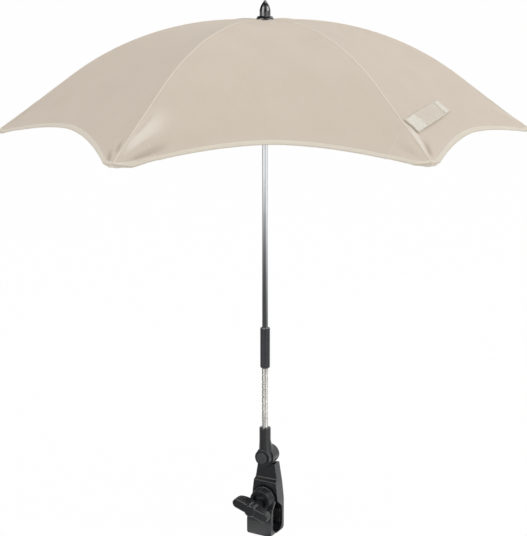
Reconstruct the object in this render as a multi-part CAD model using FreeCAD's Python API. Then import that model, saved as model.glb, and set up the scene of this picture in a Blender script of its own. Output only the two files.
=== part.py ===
import FreeCAD, Part
import math
import os

# Pram parasol, in millimetres. X runs along the push bar that the clamp grips, Y along the
# clamp screw with its wing nut on the -Y side, and Z up the shaft. The origin is the grip's centre.

V = FreeCAD.Vector
X_DIR = V(1, 0, 0)
Y_DIR = V(0, 1, 0)
Z_DIR = V(0, 0, 1)

# Counts and angles
rib_count = 6
neck_count = 7
ridges_per_piece = 5
full_turn = 360.0
half_turn = 180.0
quarter_turn = 90.0
flank_deg = 50.0
wing_deg = 18.0
tilt_deg = 45.0
canopy_deg = 36.0
fold_deg = 66.0
strap_deg = 7.3

# Fits
overrun = 30.0
join_limit = 0.001
seat_gap = 0.05
pivot_gap = 0.08
slide_gap = 0.3
slot_gap = 0.3
seam_gap = 0.3
face_gap = 0.1

# Grip and jaws
grip_r = 11.0
wall_half = 14.0
wall_round = 8.0
pad_thick = 1.5
pad_lip = 2.5
pad_length = 36.0
pad_half = 10.0
pad_round = 1.0
jaw_half = 19.3
jaw_bottom = 25.0
jaw_corner = 5.0
toe_gap = 0.6
toe_thick = 4.0
toe_round = 0.5
jaw_front = 18.5
jaw_bend = 3.0
jaw_round = 5.0
boss_front = 16.5
boss_foot = 13.0
boss_base_r = 17.0
boss_tip_r = 15.2
plate_front = 5.8
plate_back = 3.2
plate_foot = 24.0
plate_r = 17.5
plate_z = 27.5
well_r = 11.5
well_depth = 5.0
slot_ceiling = 24.0

# Clamp screw, washer and wing nut
screw_z = 24.0
screw_r = 3.0
screw_end = 41.0
screw_head_flat = 10.0
screw_head_thick = 4.0
washer_r = 7.4
washer_thick = 1.2
hub_neck_r = 7.0
hub_neck_end = 32.0
hub_r = 9.2
hub_start = 34.0
hub_end = 47.0
hub_dome = 2.5
hub_cap = 2.0
wing_reach = 28.0
wing_tip_half = 6.8
wing_tip_round = 6.2
wing_waist = 6.0
wing_front = 45.4
wing_thick = 10.0
wing_edge = 2.2

# Rear jaw and its stalk
back_y = 18.0
back_round = 9.0
pocket_y = 4.4
arch_gap = 1.8
hood_y = 1.0
hood_round = 1.2
ledge_z = 52.0
ledge_rise = 3.5
ledge_round = 2.0
stalk_y = 3.6
stalk_top = 78.0
stalk_half = 13.2
ledge_half = 18.2
ledge_half_z = 48.0
cheek_half = 20.8
cheek_half_z = 24.0
outline_round = 60.0
foot_round = 6.0

# Tilting head
hinge_z = 89.5
drum_r = 13.5
drum_back = 17.5
drum_gap = 0.6
lug_front = 8.5
lug_r = 11.6
tongue_front = 5.0
tongue_thick = 7.0
tongue_half = 6.0
tongue_root = 72.0
eye_r = 9.0
bolt_r = 3.0
bolt_head_r = 7.7
bolt_head_thick = 3.0
bolt_head_edge = 0.9
nut_flat = 10.0
nut_thick = 3.2
barrel_r = 8.0
barrel_top = 132.8
barrel_rim = 1.0
flare_top = 114.0
flare_foot = 92.5
flare_side = 10.4
flare_inset = 0.4

# Bending neck
ferrule_r = 4.45
ferrule_top = 147.0
ferrule_depth = 15.0
neck_top = 220.3
neck_r = 4.35
groove_depth = 0.4
crest_share = 0.5
slope_share = 0.2
joint_gap = 0.5
ball_r = 3.2
stub_r = 4.2
stub_length = 13.0

# Joint sleeve and shaft
sleeve_r = 6.7
sleeve_top = 278.0
sleeve_chamfer = 1.4
sleeve_rim = 0.4
shaft_r = 4.0
shaft_wall = 0.8
shaft_bottom = 236.0

# Canopy and its closing strap
canopy_r = 350.0
flat_r = 35.0
dome_r = 371.0
apex_z = 695.5
cloth = 0.8
rib_drop = 2.3
hem_inset = 16.3
eyelet_r = 5.5
strap_length = 138.0
strap_width = 22.8
strap_thick = 1.2
strap_end_round = 3.0
strap_back = 45.1
strap_aside = 74.0

# Ribs, tips, clips and stretchers
rib_r = 1.3
pin_r = 1.5
pin_length = 6.0
pin_place_r = 8.6
tip_r = 1.9
tip_length = 11.0
tip_grip = 6.0
tip_over = 1.5
clip_wall = 0.6
clip_length = 9.0
clip_drop = 5.0
clip_lug = 2.0
clip_lug_r = 2.0
clip_place_r = 150.0
rivet_r = 0.9
rivet_head_r = 1.6
rivet_head = 0.6
stretcher_height = 3.8
stretcher_wall = 1.0
fork_depth = 9.0
tail_length = 8.0
tail_root = 6.0
tail_thick = 2.4

# Crown, runner and finial
crown_r = 13.0
crown_height = 11.0
crown_neck_r = 7.0
crown_neck = 7.0
crown_edge = 0.8
cloth_gap = 0.3
runner_pivot_r = 11.5
runner_drop = 82.75
runner_ring_r = 14.0
runner_ring = 11.0
runner_edge = 0.8
runner_tube_r = 7.0
runner_tube = 27.0
runner_collar = 6.0
runner_lip_r = 8.2
runner_lip = 3.0
runner_slot_r = 8.8
flange_r = 11.35
flange_rim = 1.8
flange_top_r = 9.4
flange_thick = 4.5
flange_round = 0.5
bullet_r = 7.25
bullet_shoulder = 17.4
bullet_round = 19.0
bullet_height = 23.0
nub_r = 1.8
nub_height = 1.6
nub_round = 0.6
stem_length = 24.0

# Worked-out places
os.makedirs("parts", exist_ok=True)
rib_step = full_turn / rib_count
half_step = rib_step / 2
flank = math.radians(flank_deg)
jaw_depth = grip_r + pad_thick + seat_gap
toe_top = toe_thick - jaw_bottom
well_floor = well_depth - boss_front
nut_start = well_floor - washer_thick - face_gap
piece_length = (neck_top - ferrule_top) / neck_count
under_z = apex_z - cloth
dome_z = under_z - dome_r
rib_arc_r = dome_r - rib_drop
crown_top = under_z - cloth_gap
shaft_bore = shaft_r - shaft_wall


def rib_point(turn, drop=0.0):
    """Place on a rib's curved line, as (r, 0, z), at a turn in radians from the level part."""
    reach = rib_arc_r - drop
    return V(flat_r + reach * math.sin(turn), 0, dome_z + reach * math.cos(turn))


pin_turn = -math.asin((flat_r - pin_place_r) / rib_arc_r)
clip_turn = math.asin((clip_place_r - flat_r) / rib_arc_r)
end_turn = math.radians(canopy_deg)
rib_pivot = rib_point(pin_turn)
clip_pivot = rib_point(clip_turn, clip_drop)
stretcher_length = math.hypot(clip_pivot.x - runner_pivot_r, runner_drop)
runner_z = clip_pivot.z - runner_drop
strap_out = canopy_r * math.cos(math.radians(half_step)) - strap_back


def fused(shapes):
    """One clean solid from overlapping shapes."""
    whole = shapes[0].fuse(shapes[1:])
    return whole.removeSplitter()


def save(name, shape):
    """Write one piece of the parasol to its own file."""
    print(name, len(shape.Solids), round(shape.Volume, 1), shape.isValid())
    shape.exportStep("parts/" + name + ".step")


def rounded_face(corners, place):
    """Flat face whose (u, v, radius) corners are rounded, with place giving each 3-D point."""
    rounds = []
    for index, (u, v, radius) in enumerate(corners):
        here = V(u, v, 0)
        before = corners[index - 1]
        after = corners[(index + 1) % len(corners)]
        back = (V(before[0], before[1], 0) - here).normalize()
        ahead = (V(after[0], after[1], 0) - here).normalize()
        half = back.getAngle(ahead) / 2
        trim = radius / math.tan(half)
        middle = (back + ahead).normalize() * (radius / math.sin(half) - radius)
        rounds.append((here + back * trim, here + middle, here + ahead * trim, radius))
    edges = []
    for index, (start, middle, end, radius) in enumerate(rounds):
        following = rounds[(index + 1) % len(rounds)][0]
        if radius > 0:
            edges.append(Part.Arc(place(start), place(middle), place(end)).toShape())
        if (following - end).Length > join_limit:
            edges.append(Part.LineSegment(place(end), place(following)).toShape())
    return Part.Face(Part.Wire(edges))


def side_prism(corners, half_width):
    """Solid of a (y, z, radius) outline, reaching half_width to both sides in X."""
    face = rounded_face(corners, lambda p: V(-half_width, p.x, p.y))
    return face.extrude(X_DIR * (2 * half_width))


def front_prism(corners, y_from, y_to):
    """Solid of an (x, z, radius) outline between two places along Y."""
    face = rounded_face(corners, lambda p: V(p.x, y_from, p.y))
    return face.extrude(Y_DIR * (y_to - y_from))


def flat_prism(corners, z_from, z_to):
    """Solid of an (x, y, radius) outline between two heights."""
    face = rounded_face(corners, lambda p: V(p.x, p.y, z_from))
    return face.extrude(Z_DIR * (z_to - z_from))


def rod_y(radius, y_from, y_to, z):
    """Round bar along Y at one height."""
    return Part.makeCylinder(radius, y_to - y_from, V(0, y_from, z), Y_DIR)


def rod_z(radius, z_from, z_to):
    """Round bar on the shaft's axis."""
    return Part.makeCylinder(radius, z_to - z_from, V(0, 0, z_from))


def turned(profile):
    """Solid of revolution about Z from a closed (r, z, rounding) outline."""
    face = rounded_face(profile, lambda p: V(p.x, 0, p.y))
    return face.revolve(V(0, 0, 0), Z_DIR, full_turn)


def turned_y(profile, z):
    """Solid of revolution about a Y axis at one height, from a closed (r, y, rounding) outline."""
    face = rounded_face(profile, lambda p: V(p.x, p.y, z))
    return face.revolve(V(0, 0, z), Y_DIR, full_turn)


def hexagon_y(flats, y_from, y_to, z):
    """Hexagonal bar along Y, measured across its flats."""
    side = flats / math.sqrt(3)
    points = []
    for corner in range(7):
        turn = math.tau * corner / 6
        points.append(V(side * math.cos(turn), y_from, z + side * math.sin(turn)))
    return Part.Face(Part.makePolygon(points)).extrude(Y_DIR * (y_to - y_from))


def box(x_from, x_to, y_from, y_to, z_from, z_to):
    """Block between two opposite corners."""
    return Part.makeBox(x_to - x_from, y_to - y_from, z_to - z_from, V(x_from, y_from, z_from))


def flank_y(z):
    """Depth of a jaw's slanted flank, at a height above or below its straight wall."""
    return jaw_depth - (abs(z) - wall_half) * math.tan(flank)


def flank_z(y):
    """Height at which a jaw's slanted flank reaches a depth."""
    return wall_half + (jaw_depth - y) / math.tan(flank)


def placed(shape, index):
    """Copy of a shape drawn along +X, turned to one of the ribs, counted from the -Y one."""
    copy = shape.copy()
    copy.rotate(V(0, 0, 0), Z_DIR, index * rib_step - quarter_turn)
    return copy


def make_clamp_body():
    """Rear jaw with its saddle, arched hood, tapering stalk and hinge tongue."""
    profile = [
        (toe_gap, -jaw_bottom, toe_round),
        (back_y, -jaw_bottom, back_round),
        (back_y, stalk_top, 0),
        (stalk_y, stalk_top, 0),
        (stalk_y, ledge_z + ledge_rise, ledge_round),
        (-hood_y, ledge_z, hood_round),
        (-hood_y, flank_z(-hood_y), 0),
        (jaw_depth, wall_half, wall_round),
        (jaw_depth, -wall_half, wall_round),
        (flank_y(toe_top), toe_top, 0),
        (toe_gap, toe_top, toe_round),
    ]
    outline = [
        (-stalk_half, stalk_top, 0),
        (stalk_half, stalk_top, 0),
        (ledge_half, ledge_half_z, outline_round),
        (cheek_half, cheek_half_z, outline_round),
        (cheek_half, -jaw_bottom, foot_round),
        (-cheek_half, -jaw_bottom, foot_round),
        (-cheek_half, cheek_half_z, outline_round),
        (-ledge_half, ledge_half_z, outline_round),
    ]
    body = side_prism(profile, overrun).common(front_prism(outline, -overrun, overrun))
    arch_r = plate_r + arch_gap
    body = body.cut(rod_y(arch_r, -overrun, pocket_y, plate_z))
    body = body.cut(box(-arch_r, arch_r, -overrun, pocket_y, 0, plate_z))
    body = body.cut(rod_y(drum_r + drum_gap, -overrun, overrun, hinge_z))
    tongue_back = tongue_front + tongue_thick
    tongue = box(-tongue_half, tongue_half, tongue_front, tongue_back, tongue_root, hinge_z)
    eye = rod_y(eye_r, tongue_front, tongue_back, hinge_z)
    body = fused([body, tongue, eye])
    body = body.cut(rod_y(bolt_r + pivot_gap, -overrun, overrun, hinge_z))
    body = body.cut(rod_y(screw_r + seat_gap, -overrun, overrun, screw_z))
    head_flat = screw_head_flat + 2 * seat_gap
    return body.cut(hexagon_y(head_flat, back_y - screw_head_thick, overrun, screw_z))


def make_front_jaw():
    """Sliding jaw with its saddle, round top plate, coned boss and nut well."""
    plate_top = plate_z + plate_r
    profile = [
        (-toe_gap, -jaw_bottom, toe_round),
        (-jaw_front, -jaw_bottom, jaw_round),
        (-jaw_front, -jaw_bend, jaw_round),
        (-boss_front, boss_foot, 0),
        (-plate_front, plate_foot, 0),
        (-plate_front, plate_top + overrun, 0),
        (plate_back, plate_top + overrun, 0),
        (plate_back, 0, 0),
        (-toe_gap, 0, 0),
    ]
    outline = [
        (-jaw_half, -jaw_bottom, jaw_corner),
        (jaw_half, -jaw_bottom, jaw_corner),
        (jaw_half, boss_foot, 0),
        (plate_r, plate_z, 0),
        (plate_r, plate_top, plate_r),
        (-plate_r, plate_top, plate_r),
        (-plate_r, plate_z, 0),
        (-jaw_half, boss_foot, 0),
    ]
    jaw = side_prism(profile, overrun).common(front_prism(outline, -overrun, overrun))
    boss_height = boss_front - plate_front
    boss = Part.makeCone(boss_base_r, boss_tip_r, boss_height, V(0, -plate_front, plate_z), -Y_DIR)
    hollow = side_prism([
        (-jaw_depth, -wall_half, wall_round),
        (-jaw_depth, wall_half, wall_round),
        (-flank_y(slot_ceiling), slot_ceiling, 0),
        (overrun, slot_ceiling, 0),
        (overrun, toe_top, 0),
        (-flank_y(toe_top), toe_top, 0),
    ], overrun)
    jaw = fused([jaw, boss]).cut(hollow)
    jaw = jaw.cut(rod_y(well_r, -overrun, well_floor, plate_z))
    return jaw.cut(rod_y(screw_r + slide_gap, -overrun, overrun, screw_z))


def make_pad(side):
    """Rubber lining of one jaw's straight wall, hollowed to the bar, on the +Y side or the -Y side."""
    near = side * (grip_r - pad_lip)
    far = side * (grip_r + pad_thick)
    pad = side_prism([
        (near, -pad_half, pad_round),
        (far, -pad_half, 0),
        (far, pad_half, 0),
        (near, pad_half, pad_round),
    ], pad_length / 2)
    return pad.cut(Part.makeCylinder(grip_r, 2 * overrun, V(-overrun, 0, 0), X_DIR))


def make_clamp_screw():
    """Hexagon-headed screw through both jaws."""
    head = hexagon_y(screw_head_flat, back_y - screw_head_thick, back_y, screw_z)
    return fused([head, rod_y(screw_r, -screw_end, back_y - screw_head_thick, screw_z)])


def make_wing_nut():
    """Two-winged nut with a long hub that turns in the front jaw's well."""
    bore_r = screw_r + pivot_gap
    profile = [
        (0, nut_start, 0),
        (hub_neck_r, nut_start, 0),
        (hub_neck_r, -hub_neck_end, 0),
        (hub_r, -hub_start, 0),
        (hub_r, -hub_end, hub_dome),
        (0, -hub_end, 0),
    ]
    hub = turned_y(profile, screw_z)
    low = screw_z - wing_tip_half
    high = screw_z + wing_tip_half
    wings = front_prism([
        (-wing_reach, low, wing_tip_round),
        (0, screw_z - wing_waist, 0),
        (wing_reach, low, wing_tip_round),
        (wing_reach, high, wing_tip_round),
        (0, screw_z + wing_waist, 0),
        (-wing_reach, high, wing_tip_round),
    ], -wing_front, wing_thick - wing_front)
    rims = []
    for edge in wings.Edges:
        if edge.BoundBox.YLength < join_limit:
            rims.append(edge)
    wings = wings.makeFillet(wing_edge, rims)
    wings.rotate(V(0, 0, screw_z), Y_DIR, wing_deg)
    bore = rod_y(bore_r, hub_cap - hub_end, overrun, screw_z)
    return fused([hub, wings]).cut(bore)


def make_washer():
    """Plain washer in the front jaw's well."""
    disc = rod_y(washer_r, well_floor - washer_thick, well_floor, screw_z)
    return disc.cut(rod_y(screw_r + slide_gap, -overrun, overrun, screw_z))


def make_swivel_socket():
    """Forked knuckle of the tilt hinge, flaring up into the barrel that holds the neck."""
    barrel = turned([
        (0, flare_top, 0),
        (barrel_r, flare_top, 0),
        (barrel_r, barrel_top, barrel_rim),
        (0, barrel_top, 0),
    ])
    drum = rod_y(drum_r, 0, drum_back, hinge_z)
    lug = rod_y(lug_r, -lug_front, tongue_front, hinge_z)
    rim_top = Part.Wire(Part.makeCircle(barrel_r, V(0, 0, flare_top)))
    foot_depth = (drum_back + lug_front) / 2 - flare_inset
    foot = Part.Ellipse(V(0, 0, 0), foot_depth, flare_side).toShape()
    foot.rotate(V(0, 0, 0), Z_DIR, quarter_turn)
    foot.translate(V(0, (drum_back - lug_front) / 2, flare_foot))
    rim_top.rotate(V(0, 0, 0), Z_DIR, quarter_turn)
    flare = Part.makeLoft([Part.Wire(foot), rim_top], True, True)
    socket = fused([drum, lug, flare, barrel])
    slot_from = tongue_front - slot_gap
    slot_to = tongue_front + tongue_thick + slot_gap
    socket = socket.cut(rod_y(eye_r + slot_gap, slot_from, slot_to, hinge_z))
    tilt = math.radians(tilt_deg)
    flank = tongue_half + slot_gap
    start = V(flank * math.cos(tilt), 0, hinge_z + flank * math.sin(tilt))
    end = start + V(math.sin(tilt), 0, -math.cos(tilt)) * overrun
    socket = socket.cut(front_prism([
        (-start.x, start.z, 0),
        (-end.x, end.z, 0),
        (end.x, end.z, 0),
        (start.x, start.z, 0),
    ], slot_from, slot_to))
    socket = socket.cut(rod_y(bolt_r + seat_gap, -overrun, overrun, hinge_z))
    socket = socket.cut(hexagon_y(nut_flat + 2 * seat_gap, drum_back - nut_thick, overrun, hinge_z))
    return socket.cut(rod_z(ferrule_r + seat_gap, barrel_top - ferrule_depth, barrel_top + overrun))


def make_hinge_bolt():
    """Round-headed pivot bolt of the tilt hinge."""
    face_y = -lug_front - bolt_head_thick
    return turned_y([
        (0, face_y, 0),
        (bolt_head_r, face_y, bolt_head_edge),
        (bolt_head_r, -lug_front, 0),
        (bolt_r, -lug_front, 0),
        (bolt_r, drum_back, 0),
        (0, drum_back, 0),
    ], hinge_z)


def make_hinge_nut():
    """Nut let into the back of the tilt hinge."""
    nut = hexagon_y(nut_flat, drum_back - nut_thick, drum_back, hinge_z)
    return nut.cut(rod_y(bolt_r + seat_gap, -overrun, overrun, hinge_z))


def make_neck_piece(index):
    """One ridged length of the neck, cupped below and balled above for its neighbours."""
    low_joint = ferrule_top + index * piece_length
    high_joint = low_joint + piece_length
    first = index == 0
    last = index == neck_count - 1
    low = low_joint if first else low_joint + joint_gap
    high = high_joint if last else high_joint - joint_gap
    pitch = (high - low) / ridges_per_piece
    groove_r = neck_r - groove_depth
    circles = []
    for ridge in range(ridges_per_piece):
        foot = low + ridge * pitch
        places = (0, slope_share, slope_share + crest_share, 2 * slope_share + crest_share)
        radii = (groove_r, neck_r, neck_r, groove_r)
        for share, radius in zip(places, radii):
            circles.append(Part.Wire(Part.makeCircle(radius, V(0, 0, foot + share * pitch))))
    circles.append(Part.Wire(Part.makeCircle(groove_r, V(0, 0, high))))
    piece = Part.makeLoft(circles, True, True)
    if last:
        piece = fused([piece, rod_z(stub_r, high, high + stub_length)])
    else:
        piece = fused([piece, Part.makeSphere(ball_r, V(0, 0, high_joint))])
    if not first:
        piece = piece.cut(Part.makeSphere(ball_r + slide_gap, V(0, 0, low_joint)))
    return piece


def make_joint_sleeve():
    """Collar that joins the neck to the shaft."""
    sleeve = turned([
        (0, neck_top, 0),
        (sleeve_r - sleeve_chamfer, neck_top, 0),
        (sleeve_r, neck_top + sleeve_chamfer, 0),
        (sleeve_r, sleeve_top, sleeve_rim),
        (0, sleeve_top, 0),
    ])
    sleeve = sleeve.cut(rod_z(stub_r + seat_gap, neck_top - overrun, neck_top + stub_length))
    return sleeve.cut(rod_z(shaft_r + seat_gap, shaft_bottom, sleeve_top + overrun))


def make_crown():
    """Notched hub that carries the ribs on cross pins."""
    crown_bottom = crown_top - crown_height
    crown = turned([
        (shaft_r + seat_gap, crown_bottom - crown_neck, 0),
        (crown_neck_r, crown_bottom - crown_neck, crown_edge),
        (crown_neck_r, crown_bottom, 0),
        (crown_r, crown_bottom, crown_edge),
        (crown_r, crown_top, crown_edge),
        (shaft_r + seat_gap, crown_top, 0),
    ])
    slot_half = rib_r + slot_gap
    slot_low = crown_bottom - overrun
    slot_in = rib_pivot.x - slot_half
    slot = box(slot_in, crown_r + overrun, -slot_half, slot_half, slot_low, crown_top + overrun)
    hole_half = pin_length / 2 + slot_gap
    hole_foot = V(rib_pivot.x, -hole_half, rib_pivot.z)
    hole = Part.makeCylinder(pin_r + pivot_gap, 2 * hole_half, hole_foot, Y_DIR)
    notch = slot.fuse(hole)
    for index in range(rib_count):
        crown = crown.cut(placed(notch, index))
    return crown


def make_runner():
    """Slider with a slotted ring that pushes the stretchers up."""
    bore_r = shaft_r + slide_gap
    ring_low = runner_z - runner_ring / 2
    ring_high = runner_z + runner_ring / 2
    low = ring_low - runner_tube
    high = ring_high + runner_collar
    runner = turned([
        (bore_r, low, 0),
        (runner_lip_r, low, runner_edge),
        (runner_lip_r, low + runner_lip, runner_edge),
        (runner_tube_r, low + runner_lip, 0),
        (runner_tube_r, ring_low, 0),
        (runner_ring_r, ring_low, runner_edge),
        (runner_ring_r, ring_high, runner_edge),
        (runner_tube_r, ring_high, 0),
        (runner_tube_r, high, runner_edge),
        (bore_r, high, 0),
    ])
    half = tail_thick / 2 + slot_gap
    reach = runner_ring_r + overrun
    slot = box(runner_slot_r, reach, -half, half, ring_low - overrun, ring_high + overrun)
    for index in range(rib_count):
        runner = runner.cut(placed(slot, index))
    return runner


def make_finial():
    """Bullet-shaped top nut with a sloped flange and a stem down into the shaft."""
    low = apex_z + cloth_gap
    stem = rod_z(shaft_bore - seat_gap, low - stem_length, low + flange_thick)
    head = turned([
        (0, low, 0),
        (flange_r, low, flange_round),
        (flange_r, low + flange_rim, flange_round),
        (flange_top_r, low + flange_thick, flange_round),
        (bullet_r, low + flange_thick, flange_round),
        (bullet_r, low + bullet_shoulder, bullet_round),
        (nub_r, low + bullet_height, 0),
        (nub_r, low + bullet_height + nub_height, nub_round),
        (0, low + bullet_height + nub_height, 0),
    ])
    return fused([head, stem])


def rib_heading(turn):
    """Direction along a rib, outwards, at a turn from the level part."""
    return V(math.cos(turn), 0, -math.sin(turn))


def rib_run():
    """Length of a rib's straight end, up to where its tip takes over."""
    bent = rib_point(end_turn)
    return (canopy_r + tip_over - bent.x) / math.cos(end_turn) - (tip_length - tip_grip)


def make_rib():
    """Rod with a cross pin at the crown, an arched length and a straight end."""
    ring = Part.makeCircle(rib_r, rib_pivot, rib_heading(pin_turn))
    bow_deg = math.degrees(end_turn - pin_turn)
    bow = Part.Face(Part.Wire(ring)).revolve(V(flat_r, 0, dome_z), Y_DIR, bow_deg)
    run = Part.makeCylinder(rib_r, rib_run(), rib_point(end_turn), rib_heading(end_turn))
    pin_foot = V(rib_pivot.x, -pin_length / 2, rib_pivot.z)
    pin = Part.makeCylinder(pin_r, pin_length, pin_foot, Y_DIR)
    return fused([bow, run, pin])


def make_rib_tip():
    """Round-nosed cap on a rib's outer end."""
    heading = rib_heading(end_turn)
    foot = rib_point(end_turn) + heading * (rib_run() - tip_grip)
    nose = foot + heading * (tip_length - tip_r)
    cap = Part.makeCylinder(tip_r, tip_length - tip_r, foot, heading)
    cap = fused([cap, Part.makeSphere(tip_r, nose)])
    return cap.cut(Part.makeCylinder(rib_r + seat_gap, tip_grip, foot, heading))


def make_rib_clip():
    """Band round a rib with a lug that carries the stretcher's rivet."""
    band_r = rib_r + clip_wall
    half = clip_length / 2
    band = Part.makeCylinder(band_r, clip_length, V(-half, 0, 0), X_DIR)
    lug = box(-clip_lug_r, clip_lug_r, -clip_lug / 2, clip_lug / 2, -clip_drop, 0)
    end = Part.makeCylinder(clip_lug_r, clip_lug, V(0, -clip_lug / 2, -clip_drop), Y_DIR)
    clip = fused([band, lug, end])
    clip = clip.cut(Part.makeCylinder(rib_r + seat_gap, 2 * overrun, V(-overrun, 0, 0), X_DIR))
    hole = Part.makeCylinder(rivet_r + pivot_gap, 2 * overrun, V(0, -overrun, -clip_drop), Y_DIR)
    clip = clip.cut(hole)
    clip.rotate(V(0, 0, 0), Y_DIR, math.degrees(clip_turn))
    clip.translate(rib_point(clip_turn))
    return clip


def make_stretcher():
    """Channel strut, forked and riveted at the clip and tongued at the runner."""
    half = stretcher_height / 2
    inner = clip_lug / 2 + slot_gap
    outer = inner + stretcher_wall
    channel_end = stretcher_length - tail_length
    sides = [
        (-half, -half, half),
        (channel_end, -half, 0),
        (channel_end, half, 0),
        (-half, half, half),
    ]
    channel = front_prism(sides, -outer, outer)
    web = half - stretcher_wall
    channel = channel.cut(box(-overrun, channel_end + overrun, -inner, inner, -overrun, web))
    channel = channel.cut(box(-overrun, fork_depth, -inner, inner, -overrun, overrun))
    tail = front_prism([
        (channel_end - tail_root, -half, 0),
        (stretcher_length + half, -half, half),
        (stretcher_length + half, half, half),
        (channel_end - tail_root, half, 0),
    ], -tail_thick / 2, tail_thick / 2)
    shank_half = outer + rivet_head
    shank = Part.makeCylinder(rivet_r, 2 * shank_half, V(0, -shank_half, 0), Y_DIR)
    left = Part.makeCylinder(rivet_head_r, rivet_head, V(0, outer, 0), Y_DIR)
    right = Part.makeCylinder(rivet_head_r, rivet_head, V(0, -shank_half, 0), Y_DIR)
    strut = fused([channel, tail, shank, left, right])
    lean = math.degrees(math.asin(runner_drop / stretcher_length))
    strut.rotate(V(0, 0, 0), Y_DIR, half_turn - lean)
    strut.translate(clip_pivot)
    return strut


def seam_place(reach, side):
    """Plan point on one edge of a canopy panel drawn about +X, clear of the seam's middle."""
    turn = side * math.radians(half_step)
    along = V(math.cos(turn), math.sin(turn), 0) * reach
    across = V(math.sin(turn), -math.cos(turn), 0) * (side * seam_gap / 2)
    return along + across


def make_panel():
    """Canopy panel stretched between two ribs, with a level top, a bow, a flat and a scalloped hem."""
    bow_out = flat_r + dome_r * math.sin(end_turn)
    bow_z = dome_z + dome_r * math.cos(end_turn)
    hem_out = canopy_r + overrun
    hem_z = bow_z - (hem_out - bow_out) * math.tan(end_turn)
    centre = V(0, 0, under_z)
    corners = []
    bows = []
    for side in (-1, 1):
        turn = side * half_step
        mid_turn = end_turn / 2
        mid = V(flat_r + dome_r * math.sin(mid_turn), 0, dome_z + dome_r * math.cos(mid_turn))
        start = V(flat_r, 0, under_z)
        bend = V(bow_out, 0, bow_z)
        outer = V(hem_out, 0, hem_z)
        bow = Part.Arc(start, mid, bend).toShape()
        bow.rotate(V(0, 0, 0), Z_DIR, turn)
        bows.append(bow)
        spin = FreeCAD.Rotation(Z_DIR, turn)
        corners.append([spin.multVec(point) for point in (start, bend, outer)])
    low, high = corners
    top = Part.Face(Part.makePolygon([centre, low[0], high[0], centre]))
    bow = Part.makeRuledSurface(bows[0], bows[1])
    flat = Part.Face(Part.makePolygon([low[1], low[2], high[2], high[1], low[1]]))
    cloths = [face.extrude(Z_DIR * cloth) for face in (top, bow, flat)]
    sheet = fused(cloths)
    hem_middle = V(canopy_r * math.cos(math.radians(half_step)) - hem_inset, 0, 0)
    edges = [
        Part.LineSegment(seam_place(eyelet_r, -1), seam_place(canopy_r, -1)),
        Part.Arc(seam_place(canopy_r, -1), hem_middle, seam_place(canopy_r, 1)),
        Part.LineSegment(seam_place(canopy_r, 1), seam_place(eyelet_r, 1)),
        Part.Arc(seam_place(eyelet_r, 1), V(eyelet_r, 0, 0), seam_place(eyelet_r, -1)),
    ]
    plan = Part.Face(Part.Wire([edge.toShape() for edge in edges]))
    return sheet.common(plan.extrude(Z_DIR * (apex_z + overrun)))


def make_strap():
    """Closing strap lying along the hem on the flat of one panel, drawn about +X."""
    half = strap_length / 2
    wide = strap_width / 2
    strap = flat_prism([
        (-wide, -half, strap_end_round),
        (wide, -half, strap_end_round),
        (wide, half, strap_end_round),
        (-wide, half, strap_end_round),
    ], 0, strap_thick)
    strap.rotate(V(0, 0, 0), Z_DIR, strap_deg)
    slope = math.atan(math.tan(end_turn) / math.cos(math.radians(half_step)))
    strap.rotate(V(0, 0, 0), Y_DIR, math.degrees(slope))
    bow_out = flat_r + dome_r * math.sin(end_turn)
    bow_z = dome_z + dome_r * math.cos(end_turn)
    rib_out = strap_out / math.cos(math.radians(half_step))
    panel_z = bow_z - (rib_out - bow_out) * math.tan(end_turn) + cloth
    strap.translate(V(strap_out, -strap_aside, panel_z + cloth_gap / math.cos(slope)))
    return strap


save("clamp_body", make_clamp_body())
save("rear_jaw_pad", make_pad(1))
save("clamp_screw", make_clamp_screw())
save("front_jaw", make_front_jaw())
save("front_jaw_pad", make_pad(-1))
save("jaw_washer", make_washer())
save("wing_nut", make_wing_nut())
save("swivel_socket", make_swivel_socket())
save("hinge_bolt", make_hinge_bolt())
save("hinge_nut", make_hinge_nut())
save("neck_ferrule", rod_z(ferrule_r, barrel_top - ferrule_depth, ferrule_top))
for place in range(neck_count):
    save("neck_piece_%d" % (place + 1), make_neck_piece(place))
save("joint_sleeve", make_joint_sleeve())
save("shaft", rod_z(shaft_r, shaft_bottom, crown_top).cut(rod_z(shaft_bore, shaft_bottom, crown_top)))
save("crown", make_crown())
save("runner", make_runner())
save("finial", make_finial())
rib = make_rib()
rib_tip = make_rib_tip()
rib_clip = make_rib_clip()
stretcher = make_stretcher()
panel = make_panel()
for place in range(rib_count):
    save("rib_%d" % (place + 1), placed(rib, place))
    save("rib_tip_%d" % (place + 1), placed(rib_tip, place))
    save("rib_clip_%d" % (place + 1), placed(rib_clip, place))
    save("stretcher_%d" % (place + 1), placed(stretcher, place))
    save("canopy_panel_%d" % (place + 1), placed(panel, place + half_step / rib_step))
save("closing_strap", make_strap())

# The closed places of the folding frame, from the turn of the ribs about the crown
arm = clip_pivot - rib_pivot
folded = FreeCAD.Rotation(Y_DIR, fold_deg).multVec(arm) + rib_pivot
folded_rise = math.sqrt(stretcher_length ** 2 - (folded.x - runner_pivot_r) ** 2)
travel = runner_z - (folded.z - folded_rise)
open_lean = math.degrees(math.asin(runner_drop / stretcher_length))
shut_lean = math.degrees(math.asin(folded_rise / stretcher_length))
print("rib pivot", rib_pivot, "clip pivot", clip_pivot, "runner", runner_z)
print("runner travel", travel, "stretcher turn", open_lean - shut_lean - fold_deg)
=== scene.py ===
"""Looks of a clip-on pram parasol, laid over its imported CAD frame.

Everything is in metres in the CAD frame: X along the push bar, Y along the clamp screw with the
wing nut on the -Y side, Z up the shaft, and the origin at the middle of the grip. Ribs are counted
from the one over the wing nut, and a rib's heading is the turn about Z from -Y towards +X.
"""

import logging
import math
from dataclasses import dataclass, field
from enum import Enum

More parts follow.
